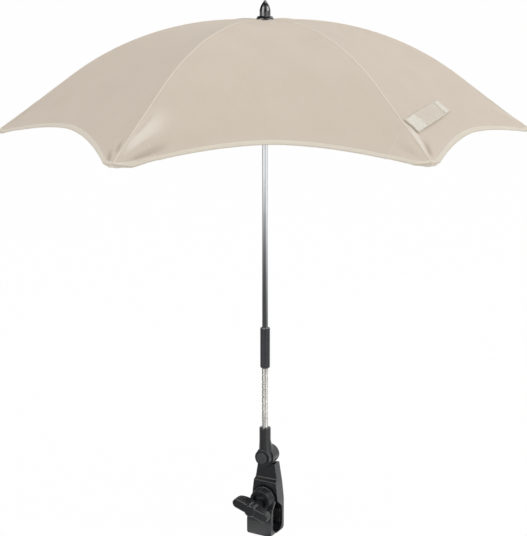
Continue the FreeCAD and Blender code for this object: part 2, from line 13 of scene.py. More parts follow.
import bpy
import numpy as np
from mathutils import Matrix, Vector

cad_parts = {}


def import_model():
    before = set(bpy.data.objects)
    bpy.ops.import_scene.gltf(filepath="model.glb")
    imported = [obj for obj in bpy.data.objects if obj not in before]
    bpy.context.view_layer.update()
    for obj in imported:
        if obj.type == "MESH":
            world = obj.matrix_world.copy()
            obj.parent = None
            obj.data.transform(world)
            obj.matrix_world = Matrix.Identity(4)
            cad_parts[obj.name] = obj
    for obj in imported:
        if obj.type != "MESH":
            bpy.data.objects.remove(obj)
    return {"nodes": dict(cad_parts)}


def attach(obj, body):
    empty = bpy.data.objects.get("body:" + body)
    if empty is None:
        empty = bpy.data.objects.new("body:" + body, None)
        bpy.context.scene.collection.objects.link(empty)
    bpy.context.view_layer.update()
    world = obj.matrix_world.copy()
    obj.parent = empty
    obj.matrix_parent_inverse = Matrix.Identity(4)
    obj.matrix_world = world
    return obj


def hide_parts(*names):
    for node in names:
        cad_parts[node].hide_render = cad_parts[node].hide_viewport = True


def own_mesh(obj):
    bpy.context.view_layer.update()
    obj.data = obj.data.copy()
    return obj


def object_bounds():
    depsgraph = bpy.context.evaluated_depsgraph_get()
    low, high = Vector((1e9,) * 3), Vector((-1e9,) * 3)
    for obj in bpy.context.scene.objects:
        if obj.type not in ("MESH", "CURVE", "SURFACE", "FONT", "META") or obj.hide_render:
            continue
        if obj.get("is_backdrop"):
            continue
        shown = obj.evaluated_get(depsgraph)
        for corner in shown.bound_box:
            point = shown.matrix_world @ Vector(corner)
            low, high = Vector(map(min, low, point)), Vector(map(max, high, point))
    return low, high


LOG = logging.getLogger("parasol")
MM = 0.001
PHOTO_HIGH = 536
WHITE = (1.0, 1.0, 1.0, 1.0)
USUAL_NOISE = (0.3, 0.7)

Pair = tuple[float, float]
Triple = tuple[float, float, float]
Colour = Triple
Grid = np.ndarray
Node = bpy.types.Node
Socket = bpy.types.NodeSocket
Material = bpy.types.Material
Piece = bpy.types.Object


class Rays(Enum):
    """Light Path outputs for which the white backdrop shows."""

    CAMERA = "Is Camera Ray"
    GLOSSY = "Is Glossy Ray"
    TRANSMISSION = "Is Transmission Ray"


class Path(Enum):
    """UV maps that the cloth carries."""

    WEAVE = "weave"
    STITCH = "stitch"
    SEAM = "seam"
    # map of the painted shading of the folds
    PAINTED_FOLD_SHADING = "crease"


def linear(red: float, green: float, blue: float) -> Colour:
    """Turn a colour as seen on screen, 0 to 255, into linear light."""
    seen = np.array([red, green, blue]) / 255.0
    return tuple(np.where(seen <= 0.04045, seen / 12.92, ((seen + 0.055) / 1.055) ** 2.4).tolist())


def smooth_step(low: float, high: float, value: Grid) -> Grid:
    """Rise smoothly from 0 at low to 1 at high: 3 t squared less 2 t cubed."""
    t = np.clip((value - low) / (high - low), 0.0, 1.0)
    return t * t * (3.0 - 2.0 * t)


def signed_power(value: Grid, power: float) -> Grid:
    """Size of a value to a power, with the value's own sign."""
    return np.sign(value) * np.abs(value) ** power


def turned(x: Grid, y: Grid, turn: float) -> tuple[Grid, Grid]:
    """Plan places read on axes that are turned by an angle: x cos + y sin, and y cos - x sin."""
    cos, sin = math.cos(turn), math.sin(turn)
    return x * cos + y * sin, y * cos - x * sin


def heading(degrees: float) -> tuple[Grid, Grid]:
    """Level unit vectors of a heading, out and to the side, for a turn about Z from -Y towards +X."""
    cos, sin = math.cos(math.radians(degrees)), math.sin(math.radians(degrees))
    return np.array([sin, -cos, 0.0]), np.array([cos, sin, 0.0])


class Sketch:
    """A node tree, drawn node by node."""

    def __init__(self, owner: Material | bpy.types.World) -> None:
        """Start an empty tree.

        Args:
            owner: Material or world that holds the tree.
        """
        owner.use_nodes = True
        self.tree = owner.node_tree
        self.tree.nodes.clear()

    def feed(self, node: Node, key: str | int, value: object) -> None:
        """Link a socket to an input, or set the input's own value.

        Args:
            node: Node that has the input.
            key: Name or number of the input.
            value: Socket to link, or the value to set.
        """
        if isinstance(value, Socket):
            self.tree.links.new(value, node.inputs[key])
        else:
            node.inputs[key].default_value = value

    def node(self, kind: str, sockets: dict | None = None, **settings: object) -> Node:
        """Add a node.

        Args:
            kind: Blender's name of the node type, after its ShaderNode.
            sockets: Inputs to set or link.
            **settings: Properties of the node itself.

        Returns:
            The node.
        """
        made = self.tree.nodes.new("ShaderNode" + kind)
        for key, value in settings.items():
            setattr(made, key, value)
        for key, value in (sockets or {}).items():
            self.feed(made, key, value)
        return made

    def place(self) -> Socket:
        """Object coordinates."""
        return self.node("TexCoord").outputs["Object"]

    def path(self, path: Path) -> Socket:
        """Coordinates of one of the piece's own UV maps."""
        return self.node("UVMap", uv_map=path.value).outputs["UV"]

    def split(self, vector: Socket) -> Node:
        """Parts of a vector along its axes."""
        return self.node("SeparateXYZ", {"Vector": vector})

    def stretched(self, vector: Socket, scale: Triple) -> Socket:
        """Coordinates multiplied along each axis."""
        return self.node("Mapping", {"Vector": vector, "Scale": scale}).outputs["Vector"]

    def calc(self, operation: str, *values: object) -> Socket:
        """Result of a Math node on sockets or numbers, in order."""
        return self.node("Math", dict(enumerate(values)), operation=operation).outputs["Value"]

    def measure(self, operation: str, *vectors: object) -> Socket:
        """Number that a Vector Math node gives for one or two vectors."""
        return self.node("VectorMath", dict(enumerate(vectors)), operation=operation).outputs["Value"]

    def ramp(self, value: Socket, low: float, high: float, to_low: float = 0.0,
             to_high: float | Socket = 1.0) -> Socket:
        """Smooth change from to_low to to_high as a value goes from low to high."""
        sockets = {"Value": value, "From Min": low, "From Max": high, "To Min": to_low, "To Max": to_high}
        return self.node("MapRange", sockets, interpolation_type="SMOOTHSTEP").outputs["Result"]

    def noise(self, vector: Socket, size: float, detail: float = 2.0) -> Socket:
        """Cloudy pattern about 0.5, with patches of a size in metres and layers of finer detail."""
        sockets = {"Vector": vector, "Scale": 1.0 / size, "Detail": detail}
        return self.node("TexNoise", sockets).outputs["Fac"]

    def bands(self, value: Socket, pitch: float) -> Socket:
        """Even waves between 0 and 1: half of 1 plus the sine of the value over the pitch."""
        turns = self.calc("MULTIPLY", value, math.tau / pitch)
        return self.calc("MULTIPLY_ADD", self.calc("SINE", turns), 0.5, 0.5)

    def stitches(self, run: Node, halves: Pair, pitch: float, dash: Pair = (0.12, 0.4)) -> Socket:
        """Dashes of thread on a split stitch path, fading in from the outer to the inner half width."""
        line = self.ramp(self.calc("ABSOLUTE", run.outputs["Y"]), *halves)
        return self.calc("MULTIPLY", line, self.ramp(self.bands(run.outputs["X"], pitch), *dash))

    def mix(self, share: Socket, low: Colour | Socket, high: Colour | Socket) -> Socket:
        """Colour between two linear colours or sockets, by the share of the second."""
        ends = [x if isinstance(x, Socket) else (*x, 1.0) for x in (low, high)]
        return self.node("Mix", {0: share, 6: ends[0], 7: ends[1]}, data_type="RGBA").outputs[2]

    def bump(self, height: Socket, depth: float, under: Socket | None = None) -> Socket:
        """Normal of a surface raised by a pattern, a depth in metres, over the normal of a coarser one."""
        sockets = {"Height": height, "Distance": depth, "Strength": 1.0}
        return self.node("Bump", sockets | ({} if under is None else {"Normal": under})).outputs["Normal"]


class Surface(Sketch):
    """A material's node tree, with one shader."""

    def __init__(self, name: str) -> None:
        """Start a material with its shader.

        Args:
            name: Name of the material.
        """
        self.material = bpy.data.materials.new(name)
        super().__init__(self.material)
        self.output = self.node("OutputMaterial")
        self.shader = self.node("BsdfPrincipled")
        self.feed(self.output, "Surface", self.shader.outputs["BSDF"])

    def set(self, **sockets: object) -> Material:
        """Set or link the shader's inputs, written with _ for a space.

        Args:
            **sockets: Inputs of the shader.

        Returns:
            The finished material.
        """
        for key, value in sockets.items():
            self.feed(self.shader, key.replace("_", " "), value)
        return self.material


@dataclass(frozen=True)
class Plastic:
    """Moulded plastic with a fine grain, faint flow clouds and softened edges."""

    name: str
    colour: Colour
    worn: Colour
    roughness: float
    rough_spread: float = 0.06
    grain: float = 0.5 * MM
    grain_depth: float = 0.02 * MM
    cloud: float = 14 * MM
    cloud_share: float = 0.1
    edge: float = 0.5 * MM
    rub: Pair = (0.995, 0.92)
    rub_patches: tuple[float, ...] = (0.25, 0.6, 0.4, 0.9)
    gloss: float = 0.4
    index: float = 1.45
    coat: float = 0.0
    coat_roughness: float = 0.06

    def make(self) -> Material:
        """Colour drifts with slow clouds, edges rub paler, and roughness follows the grain.

        Returns:
            The material.
        """
        s = Surface(self.name)
        place = s.place()
        clouds = s.noise(place, self.cloud, detail=3.0)
        grain = s.noise(place, self.grain)
        soft = s.node("Bevel", {"Radius": self.edge}, samples=6).outputs["Normal"]
        facing = s.measure("DOT_PRODUCT", soft, s.node("NewGeometry").outputs["Normal"])
        rubbed = s.calc("MULTIPLY", s.ramp(facing, *self.rub), s.ramp(clouds, *self.rub_patches))
        colour = s.mix(s.calc("MULTIPLY_ADD", clouds, self.cloud_share, rubbed), self.colour, self.worn)
        rough = s.ramp(grain, *USUAL_NOISE, self.roughness - self.rough_spread,
                       self.roughness + self.rough_spread)
        return s.set(Base_Color=colour, Roughness=rough, Normal=s.bump(grain, self.grain_depth, soft),
                     IOR=self.index, Specular_IOR_Level=self.gloss, Coat_Weight=self.coat,
                     Coat_Roughness=self.coat_roughness)


@dataclass(frozen=True)
class Metal:
    """Plated metal with drawing lines, dull clouds and softened edges."""

    name: str
    colour: Colour
    dull: Colour
    roughness: float
    lines: Triple = (1.0, 1.0, 0.04)
    line_size: float = 0.3 * MM
    line_depth: float = 0.004 * MM
    cloud: float = 12 * MM
    film: Pair = (0.35, 0.75)
    rough_clouds: Pair = (0.3, 0.75)
    rough_lines: Pair = (0.4, 0.75)
    rough_share: float = 0.3
    edge: float = 0.2 * MM

    def make(self) -> Material:
        """Lines are noise drawn out along the piece, and clouds of film dull it.

        Returns:
            The material.
        """
        s = Surface(self.name)
        place = s.place()
        lines = s.noise(s.stretched(place, self.lines), self.line_size)
        clouds = s.noise(place, self.cloud, detail=4.0)
        soft = s.node("Bevel", {"Radius": self.edge}, samples=4).outputs["Normal"]
        colour = s.mix(s.ramp(clouds, *self.film), self.colour, self.dull)
        more = self.rough_share * self.roughness
        rough = s.calc("ADD", s.ramp(clouds, *self.rough_clouds, self.roughness, self.roughness + more),
                       s.ramp(lines, *self.rough_lines, 0.0, more))
        return s.set(Base_Color=colour, Metallic=1.0, Roughness=rough,
                     Normal=s.bump(lines, self.line_depth, soft))


@dataclass(frozen=True)
class Thread:
    """Plated screw steel with a rolled thread along Y."""

    name: str
    colour: Colour
    dull: Colour
    pitch: float = 1.0 * MM
    depth: float = 0.25 * MM
    cloud: float = 4 * MM
    film: Pair = (0.35, 0.7)
    rough: Pair = (0.26, 0.42)

    def make(self) -> Material:
        """Even waves along the screw make the thread, and clouds of zinc dull it.

        Returns:
            The material.
        """
        s = Surface(self.name)
        place = s.place()
        clouds = s.noise(place, self.cloud, detail=3.0)
        thread = s.bands(s.split(place).outputs["Y"], self.pitch)
        colour = s.mix(s.ramp(clouds, *self.film), self.colour, self.dull)
        return s.set(Base_Color=colour, Metallic=1.0, Roughness=s.ramp(clouds, *USUAL_NOISE, *self.rough),
                     Normal=s.bump(thread, self.depth))


@dataclass(frozen=True)
class Rubber:
    """Matt rubber lining with fine ribs along the bar."""

    name: str
    colour: Colour
    dusty: Colour
    rib: float = 2.4 * MM
    rib_depth: float = 0.3 * MM
    grain: float = 0.3 * MM
    grain_depth: float = 0.03 * MM
    cloud: float = 6 * MM
    film: Pair = (0.45, 0.8)
    rough: Pair = (0.68, 0.85)

    def make(self) -> Material:
        """Ribs are even waves in height, and dust lies in slow clouds.

        Returns:
            The material.
        """
        s = Surface(self.name)
        place = s.place()
        dust = s.noise(place, self.cloud, detail=4.0)
        ribs = s.bump(s.bands(s.split(place).outputs["Z"], self.rib), self.rib_depth)
        colour = s.mix(s.ramp(dust, *self.film), self.colour, self.dusty)
        return s.set(Base_Color=colour, Roughness=s.ramp(dust, *USUAL_NOISE, *self.rough),
                     Normal=s.bump(s.noise(place, self.grain), self.grain_depth, ribs))


@dataclass(frozen=True)
class Cloth:
    """Plain-woven cloth with stitched lines, soft sheen and slow colour drift.

    The tones are the shares of drift, slubs and gaps between threads in the deeper colour.
    """

    name: str
    colour: Colour
    deep: Colour
    thread: Colour
    # colour of the painted shade in fold valleys
    painted_fold_shade: Colour = linear(160, 148, 132)
    tones: Triple = (0.5, 0.25, 0.3)
    drift: float = 45 * MM
    pitch: float = 0.55 * MM
    weave_depth: float = 0.05 * MM
    slub: float = 1.2 * MM
    slub_draw: Triple = (1.0, 0.06, 1.0)
    slub_depth: float = 0.04 * MM
    stitch: float = 2.6 * MM
    stitch_halves: Pair = (0.56 * MM, 0.21 * MM)
    stitch_depth: float = 0.2 * MM
    stitch_share: float = 0.8
    seam_halves: Pair | None = None
    painted_shade_share: float = 0.5
    rough: Pair = (0.72, 0.84)
    sheen: float = 0.12
    sheen_roughness: float = 0.45
    gloss: float = 0.3

    def make(self) -> Material:
        """Warp and weft cross into a weave, stitches are dashes, seams are paler, and painted shading makes
        fold ridges paler and fold valleys darker.

        Returns:
            The material.
        """
        s = Surface(self.name)
        path = s.path(Path.WEAVE)
        weave = s.split(path)
        threads = s.calc("MAXIMUM", *(s.bands(weave.outputs[axis], self.pitch) for axis in "XY"))
        slub = s.noise(s.stretched(path, self.slub_draw), self.slub)
        drift = s.noise(s.place(), self.drift, detail=3.0)
        run = s.split(s.path(Path.STITCH))
        sewn = s.stitches(run, self.stitch_halves, self.stitch)
        tone = s.calc("MULTIPLY_ADD", drift, self.tones[0], s.calc("MULTIPLY", slub, self.tones[1]))
        tone = s.calc("MULTIPLY_ADD", s.calc("SUBTRACT", 1.0, threads), self.tones[2], tone)
        colour = s.mix(tone, self.colour, self.deep)
        colour = s.mix(s.calc("MULTIPLY", sewn, self.stitch_share), colour, self.thread)
        if self.seam_halves:
            aside = s.calc("ABSOLUTE", s.split(s.path(Path.SEAM)).outputs["Y"])
            # painted shading of the folds: the thread colour as a painted highlight on ridges, the creased
            # colour as a painted shade in valleys
            shade = s.split(s.path(Path.PAINTED_FOLD_SHADING)).outputs["X"]
            colour = s.mix(s.ramp(shade, 0.0, 1.0), colour, self.thread)
            colour = s.mix(s.ramp(shade, 0.0, -1.0, 0.0, self.painted_shade_share), colour, self.painted_fold_shade)
            colour = s.mix(s.ramp(aside, *self.seam_halves), colour, self.thread)
        normal = s.bump(threads, self.weave_depth, s.bump(slub, self.slub_depth))
        return s.set(Base_Color=colour, Roughness=s.ramp(slub, *USUAL_NOISE, *self.rough),
                     Normal=s.bump(sewn, self.stitch_depth, normal), Sheen_Weight=self.sheen,
                     Sheen_Roughness=self.sheen_roughness, Specular_IOR_Level=self.gloss)


@dataclass(frozen=True)
class Tape:
    """Ribbed binding tape with a row of stitches."""

    name: str
    colour: Colour
    deep: Colour
    thread: Colour
    rib: float = 0.7 * MM
    rib_depth: float = 0.06 * MM
    stitch: float = 2.6 * MM
    stitch_halves: Pair = (0.5 * MM, 0.2 * MM)
    stitch_depth: float = 0.2 * MM
    drift: float = 30 * MM
    tones: Pair = (0.5, 0.2)
    rough: Pair = (0.74, 0.84)
    sheen: float = 0.1
    sheen_roughness: float = 0.5
    gloss: float = 0.3

    def make(self) -> Material:
        """Cross ribs are waves along the tape, and the stitches are dashes on the stitch path.

        Returns:
            The material.
        """
        s = Surface(self.name)
        run = s.split(s.path(Path.STITCH))
        ribs = s.bands(run.outputs["X"], self.rib)
        drift = s.noise(s.place(), self.drift, detail=3.0)
        sewn = s.stitches(run, self.stitch_halves, self.stitch)
        tone = s.calc("MULTIPLY_ADD", drift, self.tones[0], s.calc("MULTIPLY", ribs, self.tones[1]))
        colour = s.mix(sewn, s.mix(tone, self.colour, self.deep), self.thread)
        return s.set(Base_Color=colour, Roughness=s.ramp(drift, *USUAL_NOISE, *self.rough),
                     Normal=s.bump(sewn, self.stitch_depth, s.bump(ribs, self.rib_depth)),
                     Sheen_Weight=self.sheen, Sheen_Roughness=self.sheen_roughness,
                     Specular_IOR_Level=self.gloss)


@dataclass(frozen=True)
class Pile:
    """Hook-and-loop patch with a tangled pile."""

    name: str
    colour: Colour
    deep: Colour
    coarse: float = 1.4 * MM
    fine: float = 0.4 * MM
    depth: float = 0.5 * MM
    shares: Pair = (0.6, 0.4)
    tops: Pair = (0.62, 0.38)
    rough: Pair = (0.85, 0.95)
    sheen: float = 0.25
    sheen_roughness: float = 0.5

    def make(self) -> Material:
        """Two tangles of noise, coarse and fine, make the pile.

        Returns:
            The material.
        """
        s = Surface(self.name)
        place = s.place()
        coarse, fine = (s.noise(place, size, detail=3.0) for size in (self.coarse, self.fine))
        tangle = s.calc("MULTIPLY_ADD", coarse, self.shares[0], s.calc("MULTIPLY", fine, self.shares[1]))
        colour = s.mix(s.ramp(tangle, *self.tops), self.colour, self.deep)
        return s.set(Base_Color=colour, Roughness=s.ramp(fine, *USUAL_NOISE, *self.rough),
                     Normal=s.bump(tangle, self.depth), Sheen_Weight=self.sheen,
                     Sheen_Roughness=self.sheen_roughness)


@dataclass(frozen=True)
class Finishes:
    """Every finish of the parasol."""

    moulding: Plastic = Plastic("charcoal_moulding", linear(30, 31, 34), linear(86, 89, 94), 0.3,
                                edge=0.8 * MM, gloss=0.9)
    sleeve: Plastic = Plastic("sleeve_moulding", linear(50, 51, 55), linear(94, 97, 102), 0.34, gloss=0.9)
    polish: Plastic = Plastic("polished_black", linear(12, 12, 15), linear(24, 24, 27), 0.1,
                              grain_depth=0.002 * MM, edge=0.3 * MM, gloss=0.7, index=1.85, coat=0.5)
    fitting: Plastic = Plastic("grey_moulding", linear(176, 174, 170), linear(198, 196, 192), 0.5)
    lining: Rubber = Rubber("pad_rubber", linear(30, 30, 32), linear(52, 51, 50))
    zinc: Metal = Metal("zinc_plate", linear(196, 197, 200), linear(168, 168, 170), 0.3,
                        lines=(1.0, 1.0, 1.0))
    bolt: Plastic = Plastic("black_bolt", linear(66, 67, 70), linear(108, 109, 112), 0.34,
                            grain_depth=0.01 * MM, edge=0.8 * MM, gloss=0.6)
    screw: Thread = Thread("threaded_zinc", linear(190, 191, 194), linear(160, 160, 162))
    tube: Metal = Metal("bright_tube", linear(246, 247, 249), linear(238, 240, 243), 0.06,
                        line_depth=0.0005 * MM)
    spiral: Metal = Metal("nickel_spiral", linear(246, 245, 241), linear(238, 237, 232), 0.2,
                          line_depth=0.0)
    rod: Metal = Metal("rib_plate", linear(196, 198, 202), linear(170, 172, 176), 0.32,
                       lines=(1.0, 1.0, 1.0))
    cloth: Cloth = Cloth("beige_canopy", linear(217, 205, 190), linear(203, 190, 174),
                         linear(228, 219, 206), seam_halves=(1.26 * MM, 0.45 * MM))
    tape: Tape = Tape("hem_tape", linear(230, 221, 206), linear(212, 202, 187), linear(236, 228, 214))
    band: Cloth = Cloth("strap_cloth", linear(220, 211, 197), linear(204, 194, 179),
                        linear(234, 227, 215), pitch=0.8 * MM)
    pile: Pile = Pile("fastening_pile", linear(238, 234, 222), linear(210, 203, 188))


def normals(points: Grid) -> Grid:
    """Unit normals of a grid: the cross product of its two slopes, turned upwards."""
    way = np.cross(np.gradient(points, axis=1), np.gradient(points, axis=0))
    return way / np.linalg.norm(way, axis=-1, keepdims=True) * np.where(way[..., 2:] < 0.0, -1.0, 1.0)


def grid_object(name: str, points: Grid, maps: dict[Path, Grid] | None = None,
                wrap: bool = False, wall: float = 0.0) -> Piece:
    """Mesh object of a grid of points, one quad between each four neighbours.

    With a wall, a second grid lies under the first along its normals, turned over, and one quad
    joins the two along each stretch of the border. Those rim quads are flat, so that the border
    keeps the cloth's own shading.

    Args:
        name: Name of the piece.
        points: Places, as rows by columns by 3, in metres.
        maps: UV maps to store, each as rows by columns by 2.
        wrap: Whether the last column joins the first.
        wall: Thickness of the sheet, or 0 for a bare surface.

    Returns:
        The object, smooth and at the origin.
    """
    rows, columns = points.shape[:2]
    count = rows * columns
    numbers = np.arange(count).reshape(rows, columns)
    left = numbers if wrap else numbers[:, :-1]
    right = np.roll(numbers, -1, axis=1)[:, :left.shape[1]]
    quads = np.stack([left[:-1], right[:-1], right[1:], left[1:]], axis=-1).reshape(-1, 4)
    places = points.reshape(-1, 3)
    smooth = np.ones(len(quads), dtype=bool)
    if wall:
        border = np.concatenate([numbers[0, :-1], numbers[:-1, -1], numbers[-1, :0:-1], numbers[:0:-1, 0]])
        after = np.roll(border, -1)
        rim = np.stack([after, border, border + count, after + count], axis=-1)
        places = np.concatenate([places, (points - wall * normals(points)).reshape(-1, 3)])
        smooth = np.concatenate([smooth, smooth, np.zeros(len(rim), dtype=bool)])
        quads = np.concatenate([quads, quads[:, ::-1] + count, rim])
    mesh = bpy.data.meshes.new(name)
    mesh.from_pydata(places, [], quads.tolist())
    corners = np.empty(len(mesh.loops), dtype=np.int32)
    mesh.loops.foreach_get("vertex_index", corners)
    for path, values in (maps or {}).items():
        layer = mesh.uv_layers.new(name=path.value)
        layer.data.foreach_set("uv", values.reshape(-1, 2)[corners % count].astype(np.float32).ravel())
    mesh.polygons.foreach_set("use_smooth", smooth)
    mesh.update()
    made = bpy.data.objects.new(name, mesh)
    bpy.context.scene.collection.objects.link(made)
    return made


def dress(piece: Piece, material: Material) -> None:
    """Give a piece one material."""
    piece.data.materials.clear()
    piece.data.materials.append(material)


@dataclass(frozen=True)
class Fold:
    """Crease that fans into the cloth from a rib's tip: a ridge or, with a height below zero, a valley.

    The turn and half are degrees about the tip, from the rib's line. The painted shading is how much
    paler the cloth's colour is painted on the fold, a painted highlight, or, below zero, how much
    darker, a painted shade. The fold is full by one share of its length, and fades from another.
    """

    turn: float
    half: float
    start: float
    end: float
    height: float
    # painted shading of the cloth's colour: above zero a painted highlight, below zero a painted shade
    painted_shading: float
    full_share: float = 0.3
    fading_share: float = 0.4

    def share(self, distance: Grid, turn: Grid) -> Grid:
        """Bell across the fold that swells and dies away along it.

        Args:
            distance: Distance from the rib's tip.
            turn: Turn about the tip from the rib's line, in degrees.

        Returns:
            Share of the fold at each place.
        """
        length = self.end - self.start
        swell = smooth_step(self.start, self.start + self.full_share * length, distance)
        swell *= smooth_step(self.end, self.start + self.fading_share * length, distance)
        return swell * np.exp(-(((turn - self.turn) / self.half) ** 2))


def tip_folds() -> dict[int, tuple[Fold, ...]]:
    """Folds at the two tips that face the photograph's camera.

    Each row is a turn, half, start, end, height and painted shading, with the lengths in millimetres.

    Returns:
        The folds, by number of the rib from 0.
    """
    rows = {
        0: ((14, 11, 5, 100, 2.5, 1.0), (7, 2.2, 30, 76, -0.4, -0.5), (24, 2.5, 14, 62, -0.5, -0.5),
            (37, 6, 8, 78, -3.0, -0.9), (47, 4.5, 10, 60, 1.0, 0.4), (55, 4.5, 6, 70, -2.0, -0.8),
            (-17, 4.5, 14, 44, -2.0, -0.9), (-26, 4.5, 10, 40, 1.0, 0.3), (-37, 5, 8, 42, -2.5, -1.0)),
        1: ((7, 8, 4, 62, 2.5, 1.0), (26, 7, 8, 54, -2.5, -0.9), (40, 7, 8, 46, 1.0, 0.3),
            (-14, 7, 8, 50, 0.8, 0.2), (-28, 7, 8, 58, -0.9, -0.35), (-44, 7, 8, 56, 0.6, 0.2)),
    }
    return {rib: tuple(Fold(turn, half, start * MM, end * MM, height * MM, painted_shading)
                       for turn, half, start, end, height, painted_shading in folds) for rib, folds in rows.items()}


@dataclass
class Canopy:
    """Six sewn panels stretched over the ribs, with a bound, scalloped hem.

    The cloth is made in six sectors, each from the middle of one panel over a rib to the middle of
    the next, so that a sector can ride on its rib when the frame folds. A gather wave is its size,
    its count per radian about the tip, its shift and its further shift from rib to rib.
    """

    ribs: int = 6
    apex: float = 695.5 * MM
    level: float = 35 * MM
    dome: float = 371 * MM
    slope: float = math.radians(36)
    eyelet: float = 5.5 * MM
    hem_middle: float = 286.5 * MM
    hem_cuts: tuple[float, ...] = (-4.0 * MM, 2.5 * MM, 0.0, 0.0, 0.0, -5.0 * MM)
    hem_rise: float = 20.5 * MM
    hem_run: float = 156 * MM
    hem_power: float = 1.7
    hem_tries: int = 40
    tip_round: float = 15 * MM
    tip_past_share: float = 1.2
    tip: float = 350 * MM
    crease: float = 0.8 * MM
    sag: float = 3.5 * MM
    sag_power: float = 1.3
    folds: dict[int, tuple[Fold, ...]] = field(default_factory=tip_folds)
    fold_back: float = 6 * MM
    gather: float = 0.9 * MM
    gather_reach: float = 34 * MM
    gather_peak_share: float = 0.85
    gather_from: float = 4 * MM
    gather_full: float = 22 * MM
    gather_turn: float = 1.4
    # painted shading of the gather waves: paler colour on their ridges, darker in their troughs
    gather_painted_shading: float = 0.35
    gather_waves: tuple[tuple[float, ...], ...] = ((1.0, 7.0, 0.9, 1.7), (0.6, 11.0, 0.0, 2.1))
    pocket_foot: float = 300 * MM
    pocket_turn: float = math.radians(60)
    pocket_soft: float = 0.8 * MM
    pocket_lift: float = 0.35 * MM
    seam_lift: float = 0.8 * MM
    seam_edge: Pair = (1.8 * MM, 0.54 * MM)
    rim_share: float = 0.0005
    wall: float = 0.7 * MM
    rows: int = 150
    row_power: float = 0.9
    columns: int = 161
    column_power: float = 1.5
    tape_width: float = 7.4 * MM
    tape_thick: float = 0.65 * MM
    tape_droop: float = 0.3 * MM
    tape_out: float = 0.6 * MM
    tape_tip_droop: float = 2.0 * MM
    tape_tip_out: float = 1.6 * MM
    tape_tip_reach: float = 13 * MM
    tape_square: Pair = (0.6, 0.7)
    tape_bend: int = 4
    stitch_share: float = 0.8
    tape_around: int = 24
    tape_rows: int = 10
    gathered: float = 0.23

    @property
    def half(self) -> float:
        """Half the turn between two ribs, in radians."""
        return math.pi / self.ribs

    def ways(self, index: float) -> tuple[Grid, Grid]:
        """Outward and sideways vectors of a rib or, at half a number more, of the panel after it."""
        return heading(360.0 * index / self.ribs)

    def rib_height(self, reach: Grid) -> Grid:
        """Height of the cloth over a rib: level, then an arc, then a straight slope.

        Args:
            reach: Distance from the shaft along the rib.

        Returns:
            Height of the cloth's outer face.
        """
        arc_out = self.dome * math.sin(self.slope)
        along = np.clip(reach - self.level, 0.0, arc_out)
        arc = np.sqrt(self.dome**2 - along**2) - self.dome
        run = np.maximum(reach - self.level - arc_out, 0.0)
        return self.apex + arc - run * math.tan(self.slope)

    def hem_out(self, across: Grid, cut: Grid) -> Grid:
        """Scallop of the hem: a power curve from the panel's middle, then flat, with a round corner.

        Args:
            across: Distance from the panel's middle line.
            cut: How much further out the panel is cut at its middle.

        Returns:
            Distance of the hem from the shaft, square to that middle line's crossing.
        """
        share = np.minimum(across / self.hem_run, 1.0) ** self.hem_power
        corner = (self.hem_middle + self.hem_rise) * math.tan(self.half)
        length = self.tip_round * math.tan(self.half)
        into = np.clip(length - (corner - across), 0.0, self.tip_past_share * length)
        corner_cut = self.tip_round - np.sqrt(self.tip_round**2 - into**2)
        return self.hem_middle + cut + (self.hem_rise - cut) * share - corner_cut

    def lift(self, along: Grid, side: Grid, index: int) -> Grid:
        """Height of the cloth at plan places given along a rib and to its side.

        The base is the straight line between two ribs, rounded over the seam. A panel sags inwards
        as a bell of its distance from the ribs and from the top and hem. Puckers lie about the rib's
        tip, and the seam and the tip's pocket stand proud.

        Args:
            along: Distance from the shaft along the rib.
            side: Distance to the rib's side.
            index: Number of the rib, from 0.

        Returns:
            Height of the cloth's outer face.
        """
        away = np.abs(side)
        out = turned(along, np.sqrt(away**2 + self.crease**2), self.half)[0]
        height = self.rib_height(out / math.cos(self.half))
        middle = np.clip(1.0 - away / (out * math.tan(self.half) * math.cos(self.half)), 0.0, 1.0)
        down = np.clip(out / self.hem_middle, 0.0, 1.0)
        height -= self.sag * (1.0 - middle**2) ** 2 * np.sin(math.pi * down**self.sag_power)
        height += self.puckers(along, side, index)[0]
        beyond = self.pocket_line(along, away)[1]
        height += self.pocket_lift * smooth_step(-self.pocket_soft, self.pocket_soft, beyond)
        return height + self.seam_lift * smooth_step(*self.seam_edge, away)

    def puckers(self, along: Grid, side: Grid, index: int) -> tuple[Grid, Grid]:
        """Puckers about a rib's tip: its folds or, where it has none of its own, waves that fade.

        Args:
            along: Distance from the shaft along the rib.
            side: Distance to the rib's side.
            index: Number of the rib, from 0, which shifts its waves.

        Returns:
            Height that they add, and how much paler or darker they look.
        """
        distance = np.hypot(self.tip - along, side)
        turn = np.arctan2(side, self.tip - along + self.fold_back)
        if index in self.folds:
            shares = [(fold, fold.share(distance, np.degrees(turn))) for fold in self.folds[index]]
            height = sum(fold.height * share for fold, share in shares)
            # the second value is painted shading: paler on ridges, darker in valleys
            return height, sum(fold.painted_shading * share for fold, share in shares)
        fade = np.exp(-(((distance - self.gather_peak_share * self.gather_reach) / self.gather_reach) ** 2))
        fade *= smooth_step(self.gather_from, self.gather_full, distance)
        fade *= np.cos(np.clip(turn, -self.gather_turn, self.gather_turn))
        waves = sum(size * np.sin(count * turn + shift + further * index)
                    for size, count, shift, further in self.gather_waves)
        # the second value is painted shading: paler on the waves' ridges, darker in their troughs
        return self.gather * fade * waves, self.gather_painted_shading * fade * waves

    def pocket_line(self, along: Grid, away: Grid) -> tuple[Grid, Grid]:
        """Run along the stitched edge of a tip's pocket from the rib, and distance on its tip's side."""
        run, inside = turned(along - self.pocket_foot, away, self.pocket_turn)
        return run, -inside

